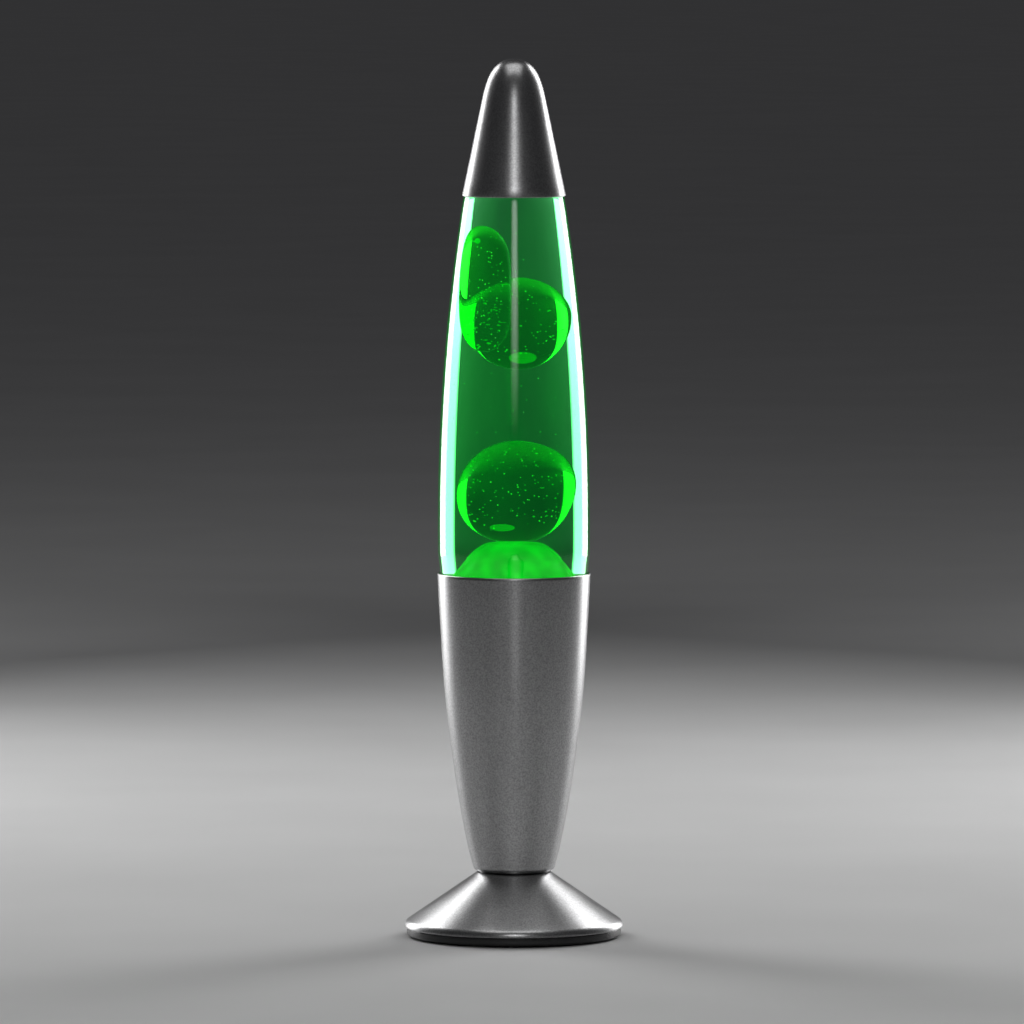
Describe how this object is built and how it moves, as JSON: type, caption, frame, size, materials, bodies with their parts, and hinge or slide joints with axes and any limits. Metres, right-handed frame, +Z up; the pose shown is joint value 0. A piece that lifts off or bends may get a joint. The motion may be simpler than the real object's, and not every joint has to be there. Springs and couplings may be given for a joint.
{
  "type": "lava lamp",
  "caption": "Lava lamp: ogive glass bottle of liquid and rising wax between a tapered metal cap and holder, on a conical foot, lit and warmed from below by a reflector bulb.",
  "frame": {"origin": "on the table, at the centre of the foot's underside", "axes": "+Z up along the lamp's axis, -Y to the front, +Y to the side where the cord enters"},
  "size_m": [0.1014, 0.1014, 0.406],
  "materials": {
    "spun_aluminium": "satin",
    "black_plastic": "satin",
    "white_plastic": "satin",
    "black_rubber": "matte",
    "plated_steel": "satin",
    "porcelain": "gloss",
    "brass": "satin",
    "brown_wire": "satin",
    "blue_wire": "satin",
    "green_wire": "satin",
    "clear_glass": "polished",
    "green_liquid": "polished",
    "green_wax": "satin"
  },
  "bodies": {
    "base": {"foot_cone": "spun_aluminium", "base_plate": "black_plastic", "rubber_foot_1": "black_rubber", "rubber_foot_2": "black_rubber", "rubber_foot_3": "black_rubber", "rubber_foot_4": "black_rubber", "cord_gland": "black_rubber", "clamp_tube": "plated_steel", "lock_washer": "plated_steel", "earth_tag": "plated_steel", "clamp_nut": "plated_steel", "seam_spacer": "black_plastic", "holder_sleeve": "spun_aluminium", "socket_base": "black_plastic", "socket_skirt": "black_plastic", "socket_insulator": "porcelain", "socket_screw_shell": "brass", "terminal_screw_live": "brass", "terminal_screw_neutral": "brass", "contact_spring": "plated_steel", "terminal_block": "white_plastic", "block_screw_1": "brass", "block_screw_2": "brass", "block_screw_3": "brass", "lead_live": "brown_wire", "lead_neutral": "blue_wire", "lead_earth": "green_wire"},
    "contact": {"contact_plunger": "brass"},
    "bulb": {"bulb_glass": "clear_glass", "bulb_screw_cap": "brass", "bulb_insulator": "black_plastic", "bulb_tip_contact": "brass", "bulb_stem": "clear_glass", "bulb_filament": "plated_steel"},
    "bottle": {"glass_bottle": "clear_glass", "crown_liner": "white_plastic", "crown_closure": "plated_steel", "wax_pool": "green_wax", "wire_coil": "plated_steel", "lamp_liquid": "green_liquid"},
    "cap": {"metal_cap": "spun_aluminium"},
    "wax_lower": {"wax_blob_lower": "green_wax"},
    "wax_middle": {"wax_blob_middle": "green_wax"},
    "wax_side": {"wax_blob_side": "green_wax"},
    "wax_top": {"wax_blob_top": "green_wax"}
  },
  "joints": [
    {"name": "bottle_lift", "type": "slide", "parent": "base", "child": "bottle", "axis": [0, 0, 1], "range_m": [0, 0.14]},
    {"name": "cap_lift", "type": "slide", "parent": "bottle", "child": "cap", "axis": [0, 0, 1], "range_m": [0, 0.08]},
    {"name": "bulb_turn", "type": "hinge", "parent": "contact", "child": "bulb", "pos_m": [0, 0, 0.075], "axis": [0, 0, 1], "range_deg": [0, 270]},
    {"name": "bulb_rise", "type": "slide", "parent": "base", "child": "contact", "axis": [0, 0, 1], "range_m": [0, 0.00212], "deforming": ["contact_spring"]},
    {"name": "wax_lower_drift", "type": "slide", "parent": "bottle", "child": "wax_lower", "axis": [0, 0, 1], "range_m": [0, 0.03]},
    {"name": "wax_middle_drift", "type": "slide", "parent": "bottle", "child": "wax_middle", "axis": [0, 0, 1], "range_m": [-0.032, 0.02]},
    {"name": "wax_side_drift", "type": "slide", "parent": "bottle", "child": "wax_side", "axis": [0, 0, 1], "range_m": [-0.04, 0]},
    {"name": "wax_top_drift", "type": "slide", "parent": "bottle", "child": "wax_top", "axis": [0, 0, 1], "range_m": [-0.012, 0]}
  ],
  "couplings": [
    {"joint": "bulb_turn", "follows": "bulb_rise", "rad_per_m": 2226.5}
  ]
}
